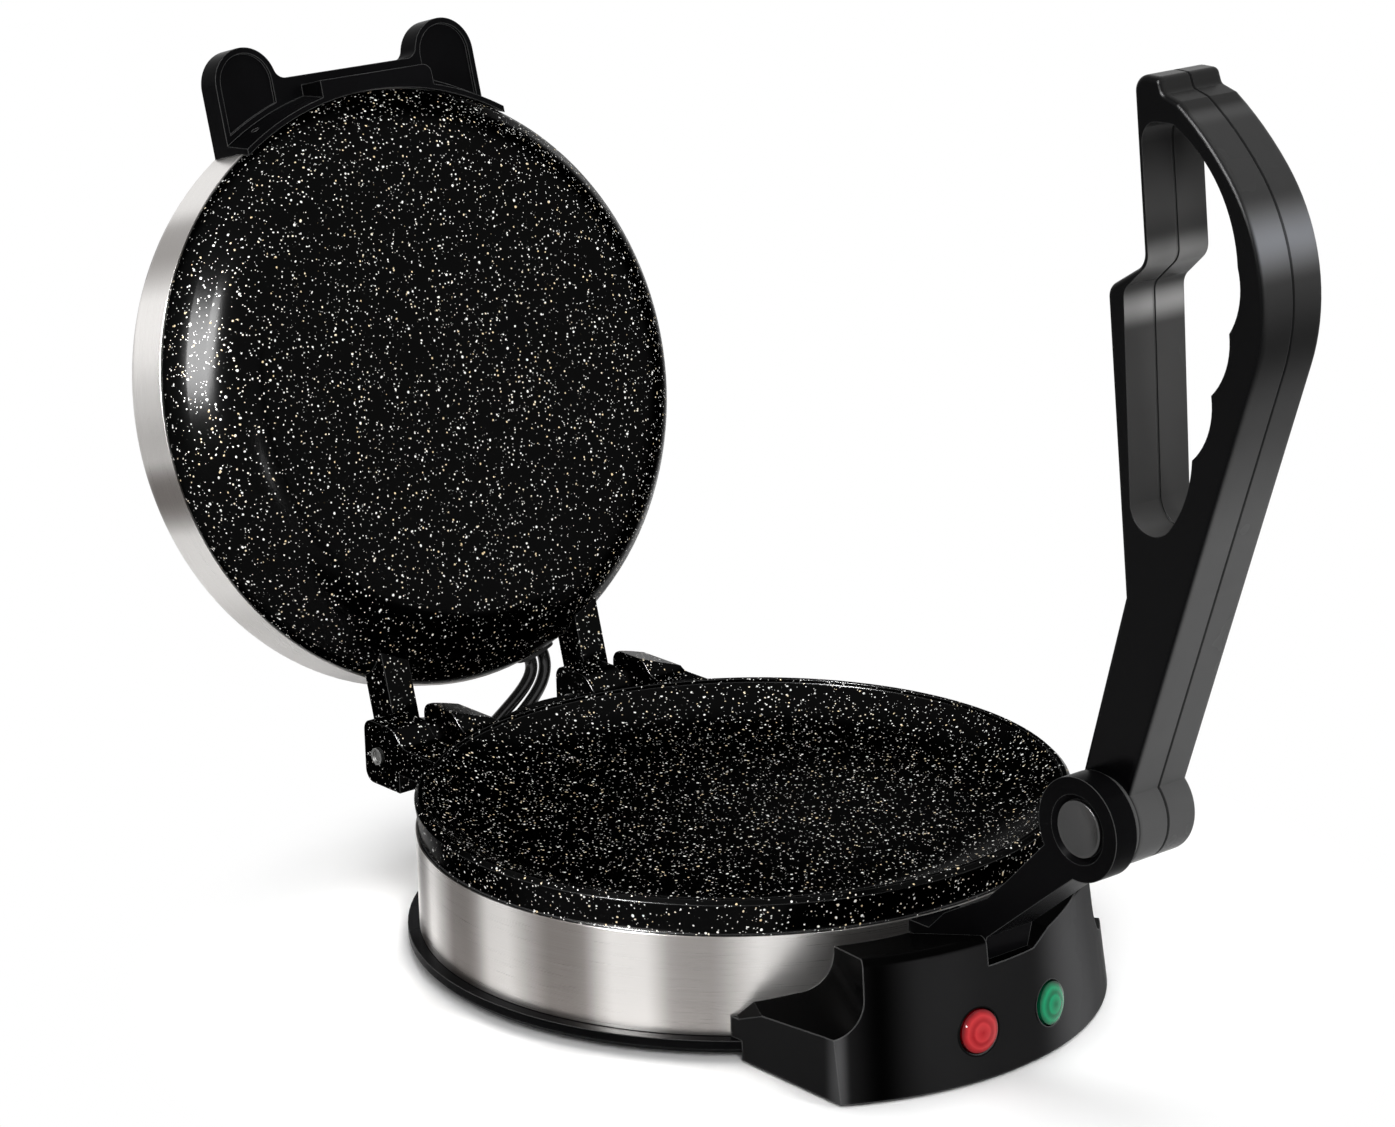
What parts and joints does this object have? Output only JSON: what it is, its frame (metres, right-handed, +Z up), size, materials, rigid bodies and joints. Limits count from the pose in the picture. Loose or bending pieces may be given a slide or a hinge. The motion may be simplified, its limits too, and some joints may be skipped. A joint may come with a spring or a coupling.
{
  "type": "electric roti maker",
  "caption": "Electric roti maker: round non-stick dish plate on a brushed base, hinged domed lid, press handle on a fixed arm, and a control housing with pilot lamps.",
  "frame": {"origin": "on the floor under the centre of the round base", "axes": "+Z up, +Y towards the lid hinge, -Y towards the control housing and the press handle, +X to the right of someone facing the housing from its front"},
  "size_m": [0.259, 0.5309, 0.3595],
  "materials": {
    "black_plastic": "satin moulded black plastic",
    "rubber": "matt black rubber",
    "brushed_cover": "fine brushed stainless sheet",
    "speckled_coating": "die-cast aluminium under a black speckled non-stick coat",
    "heater_steel": "dull steel tube",
    "shield_sheet": "plain mill sheet",
    "thermostat_body": "cream moulded insulator",
    "plated_steel": "bright zinc plate",
    "brass_bush": "plain turned brass",
    "red_lens": "clear red moulding",
    "green_lens": "clear green moulding",
    "lead_sheath": "glossy black sheath"
  },
  "bodies": {
    "base": {"base_tray": "black_plastic", "rubber_feet": "rubber", "base_band": "brushed_cover", "lower_plate": "speckled_coating", "lower_heater": "heater_steel", "lower_heat_shield": "shield_sheet", "lower_thermostat": "thermostat_body", "thermal_fuse": "thermostat_body", "centre_bolt": "plated_steel", "tray_screws": "plated_steel", "terminal_block": "thermostat_body", "cord_gland": "rubber", "lead_grommet": "rubber", "hinge_pins": "plated_steel", "hinge_nuts": "plated_steel", "front_housing": "black_plastic", "band_screws": "plated_steel", "housing_base_plate": "black_plastic", "housing_screws": "plated_steel", "lamp_lens_red": "red_lens", "lamp_lens_green": "green_lens", "lamp_holders": "black_plastic", "press_arm": "black_plastic", "arm_screws": "plated_steel", "pivot_pin": "plated_steel", "pivot_cap": "black_plastic", "pivot_nut": "plated_steel", "lead_left": "lead_sheath", "lead_right": "lead_sheath"},
    "lid": {"upper_plate": "speckled_coating", "lid_cover": "brushed_cover", "lid_bracket": "black_plastic", "bracket_screws": "plated_steel", "upper_heater": "heater_steel", "upper_heat_shield": "shield_sheet", "upper_thermostat": "thermostat_body", "cover_screws": "plated_steel", "lid_grommet": "rubber"},
    "handle": {"handle_left": "black_plastic", "handle_right": "black_plastic", "handle_screws": "plated_steel", "hub_bush": "brass_bush"}
  },
  "joints": [
    {"name": "lid_hinge", "type": "hinge", "parent": "base", "child": "lid", "pos_m": [0, 0.1382, 0.051], "axis": [1, 0, 0], "range_deg": [0, 104.8], "deforming": ["lead_left", "lead_right"]},
    {"name": "press_handle", "type": "hinge", "parent": "base", "child": "handle", "pos_m": [0, -0.207, 0.103], "axis": [-1, 0, 0], "range_deg": [0, 88.5]}
  ]
}
